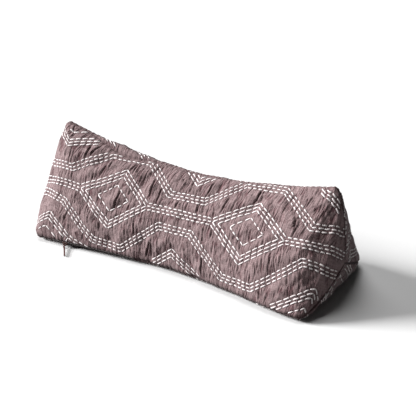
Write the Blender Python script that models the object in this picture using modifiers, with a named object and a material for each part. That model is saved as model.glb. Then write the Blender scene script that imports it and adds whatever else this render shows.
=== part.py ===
"""Buckwheat neck roll pillow.

A three-sided bolster of stitched crinkle cloth, filled with hulls and drawn in at its waist. Three long
panels are sewn along three ridges. Each panel ends in a point, and the three points fold over each end and
meet at its centre. The pillow lies on one panel, with a ridge on top and a zip in its lower front seam.

Metres. +X runs along the pillow, the front panel faces -Y and +Z is up. The origin is the middle of the
flat patch on which the pillow rests.
"""

import math

import bmesh
import bpy
import numpy as np
from mathutils import Matrix, Vector

# Driving dimensions of the cushion
HALF_LENGTH = 0.225        # from the middle to an end edge
END_HALF_WIDTH = 0.0975    # half of the base at the ends
WAIST_HALF_WIDTH = 0.0735  # half of the base at the waist
LEFT_WIDTH_BOW = 0.0012    # how far its sides bow out between the waist and an end
RIGHT_WIDTH_BOW = 0.0048
END_HEIGHT = 0.167         # top ridge at the ends, before its edge is softened
WAIST_HEIGHT = 0.132       # top ridge at the waist
END_CROWN = 0.003          # how far a panel bows out at the ends
WAIST_CROWN = 0.0185       # and at the waist
LOW_FULLNESS = 0.15        # share by which the bow is fuller low down, where the hulls settle
HEIGHT_POWER = 1.80        # how the height grows from the waist to an end
WIDTH_POWER = 1.35         # how the width grows
WIDTH_BOW_POWER = 3.0      # where between the waist and an end the sides bow most
SEAM_HEIGHT = 0.0045       # lower seams above the floor
END_BULGE = 0.0215         # centre of an end beyond its corners
END_BOWS = np.array([0.0035, 0.0035, 0.0085])  # middle of each panel's end edge beyond its corners
END_CENTRE_HEIGHT = 0.052  # where the three points meet
POINT_LENGTH = 0.052       # length of a panel's point, from the end edge to the centre
RIM_SHARE = 0.35           # share of the half base that curls up to its seam

# Softness of the edges, as half the width of the stretch that is rounded
SEAM_SOFT = 0.05           # across the panels, as a share of a panel
CORNER_SOFT = 0.007        # along the pillow, at a corner
EDGE_SOFT = 0.035          # along the pillow, at the middle of an end edge
EDGE_SOFT_POWER = 1.5      # how it grows from the corners to the middle

# The top seam wanders to the front near the left end
WANDER = 0.085
WANDER_AT = -0.115
WANDER_REACH = 0.050

# Seams
SEAM_SINK = 0.0008
SEAM_FADE = 0.020          # length over which a seam's depth fades out at the centre of an end
ZIP_SINK = 0.0017
ZIP_EASE = 0.012           # length over which the zip's groove fades out

# Main creases, pressed in from the cover. Places are in metres along the pillow, and as shares of the
# panel's width, from its first seam to its second. A crease leans when its two ends differ along.
CREASE_COLUMNS = ("panel", "along_start", "along_end", "across_start", "across_end", "depth", "reach")
CREASES = (
    (0, -0.044, -0.040, -0.02, 0.30, 0.0034, 0.0075),
    (0, -0.031, -0.026, -0.02, 0.24, 0.0026, 0.0070),
    (0, 0.049, 0.046, -0.02, 0.22, 0.0028, 0.0075),
    (0, -0.175, -0.120, 0.66, 0.97, 0.0026, 0.0080),
    (0, -0.150, -0.098, 0.66, 0.99, 0.0022, 0.0075),
    (0, -0.078, -0.045, 0.62, 0.98, 0.0022, 0.0085),
    (0, -0.020, 0.012, 0.58, 0.95, 0.0020, 0.0085),
    (0, 0.035, 0.060, 0.62, 0.97, 0.0018, 0.0085),
    (0, 0.100, 0.125, 0.60, 0.93, 0.0018, 0.0090),
    (0, -0.105, -0.085, 0.02, 0.30, 0.0018, 0.0090),
    (0, 0.118, 0.122, 0.02, 0.30, 0.0018, 0.0090),
    (1, -0.060, -0.075, 0.02, 0.34, 0.0024, 0.0085),
    (1, 0.020, 0.005, 0.02, 0.30, 0.0022, 0.0085),
    (1, 0.095, 0.080, 0.02, 0.36, 0.0022, 0.0090),
    (1, -0.020, -0.026, 0.68, 1.02, 0.0026, 0.0080),
    (1, 0.050, 0.046, 0.66, 1.02, 0.0024, 0.0080),
    (1, -0.110, -0.116, 0.70, 1.02, 0.0020, 0.0085),
)
CREASE_TAPER = 0.7         # how bluntly a crease starts and stops

# Fuller places, where hulls have gathered behind the cover
LUMP_COLUMNS = ("panel", "along", "across", "reach_along", "reach_across", "height")
LUMPS = (
    (0, 0.150, 0.20, 0.055, 0.24, 0.0045),
    (0, -0.120, 0.45, 0.060, 0.30, 0.0015),
    (1, -0.130, 0.70, 0.060, 0.26, 0.0035),
    (1, 0.120, 0.62, 0.060, 0.28, 0.0025),
    (1, -0.112, 0.14, 0.050, 0.13, 0.0055),
)
LUMP_RIM = 8               # a lump keeps its height to within about an eighth of the panel from a seam

# Cage of the cushion
PANEL_SHARES = (0.0, 0.035, 0.08, 0.20, 0.40, 0.62, 0.82, 0.96)  # columns of a panel, to its second seam
BODY_ROWS = 16             # from the middle to where an end edge starts to round
EDGE_ROWS = 4              # over an end edge
POINT_ROWS = 4             # from there to the centre of the end
SEAM_CREASE = 0.75
SUBDIVISIONS = 1
SOFT_SAMPLES = 5
FRAME_ACROSS = 0.02        # steps over which the direction out of the cover is measured
FRAME_ALONG = 0.002

# Zip
ZIP_START = -0.192
ZIP_END = -0.054
ZIP_STEPS = 24
ZIP_WIDTH = 0.0040
ZIP_THICKNESS = 0.0015
ZIP_PROUD = 0.0006         # outer face of the zip beyond the line of the seam
CLEARANCE = 0.0003         # between pieces that touch

SLIDER_AT = -0.170
SLIDER_LENGTH = 0.0085
SLIDER_WIDTH = 0.0066
SLIDER_PLATE = 0.0010
SLIDER_DROP = 0.0011       # how far its flanks reach down beside the coils
SLIDER_ROUNDING = 0.0004
SLIDER_TAPER = 0.72        # width of its narrow end, as a share
BRIDGE_RADIUS = 0.00055
BRIDGE_HEIGHT = 0.0030
BRIDGE_SPAN = 0.0060
BRIDGE_STEPS = 8

PULL_LENGTH = 0.0310
PULL_WIDTH = 0.0028
PULL_THICKNESS = 0.0008
PULL_EYE_RADIUS = 0.0019
PULL_HEAD_RADIUS = 0.0028
PULL_STEPS = 20
PULL_SLACK = 0.0003        # how far its eye hangs away from the arch
PULL_DIRECTION = Vector((0.62, -0.78, -0.06))
PULL_ROLL = math.radians(-45)

FRONT, BACK, BASE = 0, 1, 2


def as_rows(columns, rows):
    """A table's rows as dictionaries, by the names of its columns."""
    return [dict(zip(columns, row)) for row in rows]


def edge_soft(across):
    """Half width of the rounding over an end edge, wider in the middle of a panel than at its corners."""
    middle = np.sin(np.pi * np.clip(across, 0, 1)) ** EDGE_SOFT_POWER
    return CORNER_SOFT + (EDGE_SOFT - CORNER_SOFT) * middle


def edge_place(panel, across):
    """Distance from the middle of the pillow to the end edge of a panel."""
    return HALF_LENGTH + END_BOWS[panel] * np.sin(np.pi * across) ** 2


def crown(panel, across, along, far):
    """How far a panel bows out at a point."""
    height = WAIST_CROWN + (END_CROWN - WAIST_CROWN) * far ** HEIGHT_POWER
    height = height * 4 * across * (1 - across)
    for lump in as_rows(LUMP_COLUMNS, LUMPS):
        if lump["panel"] == panel:
            along_part = ((along - lump["along"]) / lump["reach_along"]) ** 2
            across_part = ((across - lump["across"]) / lump["reach_across"]) ** 2
            rim = np.clip(across * (1 - across) * LUMP_RIM, 0, 1)
            height = height + lump["height"] * np.exp(-along_part - across_part) * rim
    return height


def sharp(panel, across, along):
    """Points of the cover before its edges are softened.

    across runs from 0 to 1 over the panel, and past that onto its neighbours. along is the distance from
    the middle of the pillow, running on over the end edge to the centre of the end.
    """
    turns = np.floor(across).astype(int)
    across = across - turns
    panels = (panel + turns) % 3
    edge = edge_place(panels, across)
    inward = 1 - np.clip((np.abs(along) - edge) / POINT_LENGTH, 0, 1)
    body = np.minimum(np.abs(along), edge)
    far = np.minimum(body / HALF_LENGTH, 1)
    width = WAIST_HALF_WIDTH + (END_HALF_WIDTH - WAIST_HALF_WIDTH) * far ** WIDTH_POWER
    width_bow = np.where(along < 0, LEFT_WIDTH_BOW, RIGHT_WIDTH_BOW)
    width = width + width_bow * np.sin(np.pi * far ** WIDTH_BOW_POWER)
    height = WAIST_HEIGHT + (END_HEIGHT - WAIST_HEIGHT) * far ** HEIGHT_POWER
    slant = np.hypot(width, height - SEAM_HEIGHT)
    rim = np.clip(2 * np.minimum(across, 1 - across) / RIM_SHARE, 0, 1)
    y = width * (1 - 2 * across)
    z = SEAM_HEIGHT * (1 - rim * (2 - rim))
    for side, sign in ((FRONT, -1), (BACK, 1)):
        up = across if side == FRONT else 1 - across
        bow = crown(side, across, along, far) * (1 + LOW_FULLNESS * (1 - 2 * up))
        side_y = sign * (width * (1 - up) + bow * (height - SEAM_HEIGHT) / slant)
        side_z = SEAM_HEIGHT + (height - SEAM_HEIGHT) * up + bow * width / slant
        y = np.where(panels == side, side_y, y)
        z = np.where(panels == side, side_z, z)
    x = np.sign(along) * (body + (HALF_LENGTH + END_BULGE - edge) * (1 - inward ** 2))
    return np.stack([x, y * inward, END_CENTRE_HEIGHT + (z - END_CENTRE_HEIGHT) * inward], axis=-1)


def top_wander(along):
    """How far the top seam lies in front of the ridge, as a share of a panel."""
    return WANDER * np.exp(-((along - WANDER_AT) / WANDER_REACH) ** 2)


def cover(panel, across, along):
    """Points of the cover: the mean of the sharp shape over a small window, which softens its edges."""
    across = np.asarray(across, float)
    along = np.asarray(along, float)
    past = (np.abs(along) - edge_place(panel, np.clip(across, 0, 1))) / POINT_LENGTH
    reach = edge_soft(across) * (1 - np.clip(past, 0, 1))
    shift = top_wander(along)
    if panel == FRONT:
        across = np.where(across > 0, across * (1 - shift), across)
    if panel == BACK:
        across = np.where(across < 1, across * (1 + shift) - shift, across)
    steps = (np.arange(SOFT_SAMPLES) * 2 - (SOFT_SAMPLES - 1)) / SOFT_SAMPLES
    total = 0
    for i in steps:
        for j in steps:
            total = total + sharp(panel, across + i * SEAM_SOFT, along + j * reach)
    return total / SOFT_SAMPLES ** 2


def row_places(panel, across):
    """Distances along the pillow of the cage's rows, from the middle to the centre of the right end."""
    soft = edge_soft(across)
    edge = edge_place(panel, across)
    places = [(edge - soft) * i / BODY_ROWS for i in range(BODY_ROWS)]
    places += [edge - soft + 2 * soft * i / EDGE_ROWS for i in range(EDGE_ROWS)]
    left = POINT_LENGTH - soft
    places += [edge + soft + left * i / POINT_ROWS for i in range(POINT_ROWS + 1)]
    return places


def zip_depth(along):
    """Depth of the groove in the lower front seam, where the zip lies."""
    start = (along - ZIP_START) / ZIP_EASE + 1
    stop = (ZIP_END - along) / ZIP_EASE + 1
    share = min(max(min(start, stop), 0.0), 1.0)
    return SEAM_SINK + (ZIP_SINK - SEAM_SINK) * share * share * (3 - 2 * share)


def outward(panel, across, along):
    """Direction that points out of the pillow at a place on the cover."""
    ahead = cover(panel, across, along + FRAME_ALONG) - cover(panel, across, along - FRAME_ALONG)
    aside = cover(panel, across + FRAME_ACROSS, along) - cover(panel, across - FRAME_ACROSS, along)
    return Vector(ahead).cross(Vector(aside)).normalized()


def seam_depth(panel, along):
    """Depth to which the first seam of a panel is drawn in."""
    end = HALF_LENGTH + POINT_LENGTH
    fade = min(max((end - abs(along)) / SEAM_FADE, 0.0), 1.0)
    depth = zip_depth(along) if panel == FRONT else SEAM_SINK
    return depth * fade


def cage_point(panel, column, along):
    """One point of the cage, with the seams drawn in a little."""
    point = Vector(cover(panel, PANEL_SHARES[column], along))
    if column == 0:
        point -= outward(panel, 0.0, along) * seam_depth(panel, along)
    return point


def make_cage():
    """Closed cage of the cushion: a loft of rings that close to a point at each end.

    Its UV layer holds each corner's place on the cover: the distance along, and the panel plus the share
    of its width.
    """
    columns = len(PANEL_SHARES)
    sides = [(panel, column) for panel in (FRONT, BACK, BASE) for column in range(columns)]
    count = len(sides)
    right = [row_places(panel, PANEL_SHARES[column]) for panel, column in sides]
    last = len(right[0]) - 1
    mesh = bmesh.new()
    rings = []
    for row in range(1 - last, last):
        places = [math.copysign(column[abs(row)], row) for column in right]
        rings.append([mesh.verts.new(cage_point(*side, along)) for side, along in zip(sides, places)])
    end = HALF_LENGTH + END_BOWS.max() + POINT_LENGTH
    poles = [mesh.verts.new(cover(FRONT, 0.5, sign * end)) for sign in (-1, 1)]
    crease = mesh.edges.layers.float.new("crease_edge")
    cloth = mesh.loops.layers.uv.new("cloth")

    def place(row, step):
        if abs(row) == last:
            return math.copysign(end, row), (step + 0.5) / columns
        panel, column = divmod(step, columns)
        share = PANEL_SHARES[column] if step < count else 0.0
        return math.copysign(right[step % count][abs(row)], row), panel + share

    for row in range(-last, last):
        for step in range(count):
            corners = [(row, step), (row, step + 1), (row + 1, step + 1), (row + 1, step)]
            if row == -last:
                corners = corners[1:]
            if row + 1 == last:
                corners = corners[:3]
            points = []
            for at, column in corners:
                ring = rings[at + last - 1] if abs(at) < last else [poles[at > 0]] * count
                points.append(ring[column % count])
            face = mesh.faces.new(points)
            for loop, corner in zip(face.loops, corners):
                loop[cloth].uv = place(*corner)
    for step in range(0, count, columns):
        chain = [poles[0]] + [ring[step] for ring in rings] + [poles[1]]
        for a, b in zip(chain, chain[1:]):
            mesh.edges.get((a, b))[crease] = SEAM_CREASE
    bmesh.ops.recalc_face_normals(mesh, faces=mesh.faces[:])
    return mesh


def press(along, around):
    """Depth of the main creases at a place on the cover.

    around is the number of the panel plus the share of its width.
    """
    depth = 0.0
    for crease in as_rows(CREASE_COLUMNS, CREASES):
        across = (around - crease["panel"] + 1.5) % 3 - 1.5
        share = (across - crease["across_start"]) / (crease["across_end"] - crease["across_start"])
        if not 0 < share < 1:
            continue
        centre = crease["along_start"] + (crease["along_end"] - crease["along_start"]) * share
        off = (along - centre) / crease["reach"]
        depth += crease["depth"] * math.sin(math.pi * share) ** CREASE_TAPER * math.exp(-off * off)
    return depth


def add_object(name, mesh, collection, colour, roughness, metallic=0.0):
    """Put a mesh in the collection as an object with a material of its own."""
    mesh.name = name
    part = bpy.data.objects.new(name, mesh)
    collection.objects.link(part)
    material = bpy.data.materials.new(name)
    material.use_nodes = True
    shader = material.node_tree.nodes["Principled BSDF"]
    shader.inputs["Base Color"].default_value = (*colour, 1.0)
    shader.inputs["Roughness"].default_value = roughness
    shader.inputs["Metallic"].default_value = metallic
    mesh.materials.append(material)
    return part


def evaluated(part):
    """A new mesh of the object with its modifiers applied."""
    bpy.context.view_layer.update()
    graph = bpy.context.evaluated_depsgraph_get()
    return bpy.data.meshes.new_from_object(part.evaluated_get(graph))


def make_cushion(collection):
    """The filled cover: the smoothed cage, with the main creases pressed in."""
    data = bpy.data.meshes.new("cage")
    cage = make_cage()
    cage.to_mesh(data)
    cage.free()
    guide = bpy.data.objects.new("cage", data)
    collection.objects.link(guide)
    smooth = guide.modifiers.new("Smooth", "SUBSURF")
    smooth.levels = SUBDIVISIONS
    smooth.render_levels = SUBDIVISIONS
    data = evaluated(guide)
    bpy.data.objects.remove(guide)
    mesh = bmesh.new()
    mesh.from_mesh(data)
    mesh.normal_update()
    cloth = mesh.loops.layers.uv["cloth"]
    moves = []
    for vertex in mesh.verts:
        along, around = vertex.link_loops[0][cloth].uv
        moves.append(vertex.normal * press(along, around))
    for vertex, move in zip(mesh.verts, moves):
        vertex.co -= move
    mesh.to_mesh(data)
    mesh.free()
    data.shade_smooth()
    return add_object("cushion", data, collection, (0.27, 0.20, 0.205), 0.95)


def seam_frame(along):
    """Place and axes on the lower front seam: along it, outward, and across it."""
    point = Vector(cover(FRONT, 0.0, along))
    ahead = Vector(cover(FRONT, 0.0, along + FRAME_ALONG) - cover(FRONT, 0.0, along - FRAME_ALONG))
    ahead.normalize()
    out = outward(FRONT, 0.0, along)
    return point - out * press(along, FRONT), ahead, out, out.cross(ahead)


def make_zip_chain(collection):
    """Closed coils of the zip, as a flat strip with rounded edges that follows the seam."""
    half = ZIP_WIDTH / 2
    top = ZIP_PROUD
    bottom = ZIP_PROUD - ZIP_THICKNESS
    edge = ZIP_THICKNESS / 3
    profile = ((-half, bottom + edge), (-half, top - edge), (edge - half, top), (half - edge, top),
               (half, top - edge), (half, bottom + edge), (half - edge, bottom), (edge - half, bottom))
    mesh = bmesh.new()
    rings = []
    for step in range(ZIP_STEPS + 1):
        along = ZIP_START + (ZIP_END - ZIP_START) * step / ZIP_STEPS
        point, _, out, side = seam_frame(along)
        rings.append([mesh.verts.new(point + side * u + out * v) for u, v in profile])
    count = len(profile)
    for lower, upper in zip(rings, rings[1:]):
        for i in range(count):
            j = (i + 1) % count
            mesh.faces.new((lower[i], lower[j], upper[j], upper[i]))
    mesh.faces.new(rings[0])
    mesh.faces.new(rings[-1])
    bmesh.ops.recalc_face_normals(mesh, faces=mesh.faces[:])
    data = bpy.data.meshes.new("zip_chain")
    mesh.to_mesh(data)
    mesh.free()
    return add_object("zip_chain", data, collection, (0.05, 0.03, 0.03), 0.55)


def box_object(name, size, centre, collection):
    """A box as a primitive, at its real size."""
    mesh = bmesh.new()
    bmesh.ops.create_cube(mesh, size=1.0)
    bmesh.ops.scale(mesh, vec=size, verts=mesh.verts[:])
    bmesh.ops.translate(mesh, vec=centre, verts=mesh.verts[:])
    data = bpy.data.meshes.new(name)
    mesh.to_mesh(data)
    mesh.free()
    part = bpy.data.objects.new(name, data)
    collection.objects.link(part)
    return part


def mesh_of_curve(curve, name, collection):
    """An object with the closed mesh of a curve, its caps welded."""
    source = bpy.data.objects.new(name, curve)
    collection.objects.link(source)
    data = evaluated(source)
    bpy.data.objects.remove(source)
    mesh = bmesh.new()
    mesh.from_mesh(data)
    bmesh.ops.remove_doubles(mesh, verts=mesh.verts[:], dist=0.00001)
    bmesh.ops.recalc_face_normals(mesh, faces=mesh.faces[:])
    mesh.to_mesh(data)
    mesh.free()
    part = bpy.data.objects.new(name, data)
    collection.objects.link(part)
    return part


def make_bridge(cutters, base_height):
    """The arch on the slider that holds the pull."""
    curve = bpy.data.curves.new("bridge", "CURVE")
    curve.dimensions = "3D"
    curve.bevel_depth = BRIDGE_RADIUS
    curve.bevel_resolution = 2
    curve.use_fill_caps = True
    spline = curve.splines.new("POLY")
    spline.points.add(BRIDGE_STEPS)
    for i in range(BRIDGE_STEPS + 1):
        angle = math.pi * i / BRIDGE_STEPS
        rise = base_height - BRIDGE_RADIUS + (BRIDGE_HEIGHT + BRIDGE_RADIUS) * math.sin(angle)
        spline.points[i].co = (-math.cos(angle) * BRIDGE_SPAN / 2, 0.0, rise, 1.0)
    return mesh_of_curve(curve, "bridge", cutters)


def make_slider(collection, cutters, matrix):
    """Body of the slider: a tapered cap over the coils, with the arch on top.

    Locally +X runs along the seam and +Z outward, and the seam's line is the origin.
    """
    inner_top = ZIP_PROUD + CLEARANCE
    outer_top = inner_top + SLIDER_PLATE
    bottom = inner_top - SLIDER_DROP
    height = outer_top - bottom
    body = box_object("slider_body", (SLIDER_LENGTH, SLIDER_WIDTH, height),
                      (0, 0, (outer_top + bottom) / 2), cutters)
    for vertex in body.data.vertices:
        if vertex.co.x > 0:
            vertex.co.y *= SLIDER_TAPER
    soften = body.modifiers.new("Soften", "BEVEL")
    soften.width = SLIDER_ROUNDING
    soften.segments = 2
    groove_width = ZIP_WIDTH + 2 * CLEARANCE
    groove = box_object("groove", (SLIDER_LENGTH * 2, groove_width, SLIDER_DROP * 2),
                        (0, 0, inner_top - SLIDER_DROP), cutters)
    bridge = make_bridge(cutters, outer_top)
    for cutter, operation in ((groove, "DIFFERENCE"), (bridge, "UNION")):
        step = body.modifiers.new(cutter.name, "BOOLEAN")
        step.operation = operation
        step.object = cutter
    data = evaluated(body)
    data.transform(matrix)
    data.shade_flat()
    for helper in (body, groove, bridge):
        bpy.data.objects.remove(helper)
    return add_object("zip_slider", data, collection, (0.10, 0.06, 0.055), 0.35, 0.8)


def pull_outline():
    """Outline of the pull in its own plane: a round head with the eye in it, and a narrow tongue."""
    neck = math.asin(PULL_WIDTH / 2 / PULL_HEAD_RADIUS)
    head = []
    for i in range(PULL_STEPS + 1):
        angle = neck + (2 * math.pi - 2 * neck) * i / PULL_STEPS
        head.append((PULL_HEAD_RADIUS * math.cos(angle), PULL_HEAD_RADIUS * math.sin(angle)))
    centre = PULL_LENGTH - PULL_HEAD_RADIUS - PULL_WIDTH / 2
    tip = []
    for i in range(PULL_STEPS // 2 + 1):
        angle = -math.pi / 2 + math.pi * i / (PULL_STEPS // 2)
        tip.append((centre + PULL_WIDTH / 2 * math.cos(angle), PULL_WIDTH / 2 * math.sin(angle)))
    return head + tip


def make_pull(collection, cutters, matrix):
    """The pull: a flat tab whose eye hangs on the slider's arch."""
    curve = bpy.data.curves.new("pull", "CURVE")
    curve.dimensions = "2D"
    curve.fill_mode = "BOTH"
    curve.extrude = PULL_THICKNESS / 2
    eye = []
    for i in range(PULL_STEPS):
        angle = 2 * math.pi * i / PULL_STEPS
        eye.append((PULL_EYE_RADIUS * math.cos(angle), PULL_EYE_RADIUS * math.sin(angle)))
    for outline in (pull_outline(), eye):
        spline = curve.splines.new("POLY")
        spline.points.add(len(outline) - 1)
        spline.use_cyclic_u = True
        for point, (x, y) in zip(spline.points, outline):
            point.co = (x, y, 0.0, 1.0)
    helper = mesh_of_curve(curve, "pull_tab", cutters)
    data = helper.data
    bpy.data.objects.remove(helper)
    data.transform(matrix)
    return add_object("zip_pull", data, collection, (0.13, 0.06, 0.05), 0.45, 0.6)


def make_zip_head(collection, cutters):
    """The slider on the seam, and the pull that leans from it towards the floor."""
    point, ahead, out, side = seam_frame(SLIDER_AT)
    slider_axes = Matrix((ahead, side, out)).transposed().to_4x4()
    slider_matrix = Matrix.Translation(point) @ slider_axes
    make_slider(collection, cutters, slider_matrix)
    arch_top = ZIP_PROUD + CLEARANCE + SLIDER_PLATE + BRIDGE_HEIGHT
    length_axis = PULL_DIRECTION.normalized()
    eye_axis = (ahead - length_axis * ahead.dot(length_axis)).normalized()
    eye_axis.rotate(Matrix.Rotation(PULL_ROLL, 3, length_axis))
    width_axis = eye_axis.cross(length_axis)
    eye_centre = point + out * arch_top + length_axis * PULL_SLACK
    pull_axes = Matrix((length_axis, width_axis, eye_axis)).transposed().to_4x4()
    make_pull(collection, cutters, Matrix.Translation(eye_centre) @ pull_axes)


def main():
    for old in list(bpy.data.objects):
        bpy.data.objects.remove(old)
    pillow = bpy.data.collections.new("neck_roll_pillow")
    cutters = bpy.data.collections.new("cutters")
    bpy.context.scene.collection.children.link(pillow)
    bpy.context.scene.collection.children.link(cutters)
    make_cushion(pillow)
    make_zip_chain(pillow)
    make_zip_head(pillow, cutters)


main()
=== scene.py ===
"""Looks of the buckwheat neck roll pillow: the stitched crinkle cloth over its filling, and its zip.

Metres. +X runs along the pillow, the front panel faces -Y and +Z is up. The cover's shape repeats the one
in the part's source. The cloth's own coordinates are u along a panel and v across it, from its middle.
"""

import math

import bpy
import numpy as np
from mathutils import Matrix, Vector


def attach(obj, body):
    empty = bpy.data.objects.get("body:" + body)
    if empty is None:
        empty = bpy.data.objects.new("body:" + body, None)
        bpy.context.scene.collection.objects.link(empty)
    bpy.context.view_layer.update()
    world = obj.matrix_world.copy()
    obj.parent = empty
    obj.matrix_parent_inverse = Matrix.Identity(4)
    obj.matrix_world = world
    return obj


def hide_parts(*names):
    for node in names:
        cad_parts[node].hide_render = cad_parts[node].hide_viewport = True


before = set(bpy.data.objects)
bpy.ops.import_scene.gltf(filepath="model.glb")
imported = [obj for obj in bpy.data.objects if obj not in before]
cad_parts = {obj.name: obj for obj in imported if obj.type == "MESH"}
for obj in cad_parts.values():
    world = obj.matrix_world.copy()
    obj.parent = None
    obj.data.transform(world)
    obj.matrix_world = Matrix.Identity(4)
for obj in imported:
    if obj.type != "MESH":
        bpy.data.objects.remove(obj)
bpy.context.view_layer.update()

SEED = 7
FRONT, BACK, BASE = 0, 1, 2
PANEL_NAMES = ("front", "back", "base")
TURN = 2 * np.pi

# Shape of the cushion, as in the part's source
HALF_LENGTH = 0.225
END_HALF_WIDTH = 0.0975
WAIST_HALF_WIDTH = 0.0735
LEFT_WIDTH_BOW = 0.0012
RIGHT_WIDTH_BOW = 0.0048
END_HEIGHT = 0.167
WAIST_HEIGHT = 0.132
END_CROWN = 0.003
WAIST_CROWN = 0.0185
LOW_FULLNESS = 0.15
HEIGHT_POWER = 1.80
WIDTH_POWER = 1.35
WIDTH_BOW_POWER = 3.0
SEAM_HEIGHT = 0.0045
END_BULGE = 0.0215
END_BOWS = np.array([0.0035, 0.0035, 0.0085])
END_CENTRE_HEIGHT = 0.052
CENTRE_SHIFT = np.array([0.0, -0.012, 0.007])  # of the seams' meeting point, off the middle of the end
POINT_LENGTH = 0.052
RIM_SHARE = 0.35
SEAM_SOFT = 0.05
CORNER_SOFT = 0.007
EDGE_SOFT = 0.035
EDGE_SOFT_POWER = 1.5
SOFT_SAMPLES = 5
WANDER = 0.085
WANDER_AT = -0.115
WANDER_REACH = 0.050
FRAME_ALONG = 0.002
FRAME_ACROSS = 0.01

# Main creases, as in the part's source: panel, start and end along, start and end across, depth, reach
CREASES = (
    (0, -0.044, -0.040, -0.02, 0.30, 0.0034, 0.0075),
    (0, -0.031, -0.026, -0.02, 0.24, 0.0026, 0.0070),
    (0, 0.049, 0.046, -0.02, 0.22, 0.0028, 0.0075),
    (0, -0.175, -0.120, 0.66, 0.97, 0.0026, 0.0080),
    (0, -0.150, -0.098, 0.66, 0.99, 0.0022, 0.0075),
    (0, -0.078, -0.045, 0.62, 0.98, 0.0022, 0.0085),
    (0, -0.020, 0.012, 0.58, 0.95, 0.0020, 0.0085),
    (0, 0.035, 0.060, 0.62, 0.97, 0.0018, 0.0085),
    (0, 0.100, 0.125, 0.60, 0.93, 0.0018, 0.0090),
    (0, -0.105, -0.085, 0.02, 0.30, 0.0018, 0.0090),
    (0, 0.118, 0.122, 0.02, 0.30, 0.0018, 0.0090),
    (1, -0.060, -0.075, 0.02, 0.34, 0.0024, 0.0085),
    (1, 0.020, 0.005, 0.02, 0.30, 0.0022, 0.0085),
    (1, 0.095, 0.080, 0.02, 0.36, 0.0022, 0.0090),
    (1, -0.020, -0.026, 0.68, 1.02, 0.0026, 0.0080),
    (1, 0.050, 0.046, 0.66, 1.02, 0.0024, 0.0080),
    (1, -0.110, -0.116, 0.70, 1.02, 0.0020, 0.0085),
)
CREASE_TAPER = 0.7

# Lumps of the filling, as in the part's source: panel, place along and across, reach along and across, height
LUMPS = (
    (0, 0.150, 0.20, 0.055, 0.24, 0.0045),
    (0, -0.120, 0.45, 0.060, 0.30, 0.0015),
    (1, -0.130, 0.70, 0.060, 0.26, 0.0035),
    (1, 0.120, 0.62, 0.060, 0.28, 0.0025),
    (1, -0.112, 0.14, 0.050, 0.13, 0.0055),
)
LUMP_RIM = 8

# Mesh of the cover
COLUMNS = (92, 74, 40)  # across the front, back and base panels
SEAM_DENSITY = 0.30  # how much closer the columns are near the seams
BODY_ROWS = 190
EDGE_ROWS = 34
POINT_ROWS = 14
BASE_CLOTH_HEIGHT = 0.0007  # the flat patch lies on its stitches
LAST_CELL = 1.001  # keeps a place just inside the last row or column
FIND_ROUNDS = 8
FIND_ERROR = 0.0004

# Seams, and the painted shade in them and beside the stitches
SEAM_GROOVE = 0.0024
SEAM_GROOVE_REACH = 0.0017
SEAM_SHADES = (1.0, 0.30, 1.0)
SEAM_SHADE_REACHES = (0.0055, 0.0026, 0.0040)
END_SHADE_RISE = 12  # how fast each seam's painted shade gets full near the ends
STITCH_SHADE = 0.30
STITCH_SHADE_REACH = 0.0024
SEAM_CALM = 0.014  # crinkles are lower than elsewhere up to this far from a seam
CALM_LEAST = 0.15
PUCKER_PITCH = 0.0075
PUCKER_HEIGHT = 0.0004
PUCKER_REACH = 0.010
PUCKER_MARGIN = 0.002
PUCKER_DRIFT = 1.5
PUCKER_DRIFT_TURNS = 61
TIP_CALM = 4  # all relief fades out over one part in this many of the points

# Crinkles: rounded puffs with narrow valleys that run across a panel
PUFFS = ((0.0068, 0.046, 0.0010), (0.0034, 0.026, 0.0006))  # size along, size across, height
PUFF_EDGE = 0.06  # how round the bottoms of the valleys are
PUFF_MEAN = 0.3
PUFF_DRIFT = 0.004  # how far they wander off their line
PUFF_DRIFT_SIZES = (4, 1.5)
PUFF_PATCH = 0.03  # size of the patches in which they are higher or lower
PUFF_PATCHINESS = 0.35
NOISE_TABLE = 64
NOISE_GAIN = 1.6
CRINKLE_END = 0.190  # the crinkles fade out beyond this distance from the middle
CRINKLE_OVERRUN = 0.01
CRINKLE_LEAST = 0.35
LEAN = (-0.08, 1.1, 14.0)  # slant of the valleys at mid panel, and how it grows towards the top

# Narrow folds between the puffs
FOLDS_PER_PANEL = (480, 360, 120)
FOLD_LENGTHS = (0.006, 0.018)  # half lengths
FOLD_DEPTHS = (0.0003, 0.0013)
FOLD_REACHES = (0.0007, 0.0011)
FOLD_WINDOW = 5  # nothing is left of a fold this many reaches away
FOLD_TAPER = 0.8
FOLD_RIDGE = 0.40  # height of the ridges beside a fold, as a share of its depth
FOLD_RIDGES_AT = (-2, 2)  # their places and width, in reaches
FOLD_RIDGE_WIDTH = 1.2
FOLD_FULL_SHADE = 0.0018  # a fold this deep gets the full painted shade inside
FOLD_SHADE_FALL = 1.6
FOLD_LEAN_SPREAD = 0.10
FOLD_CURVE = 3.0
DEEP_FOLD_REACH = 0.0012
FOLD_OVERRUN = 1.35  # the folds below fade out at their ends, so they run on a little
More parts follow.
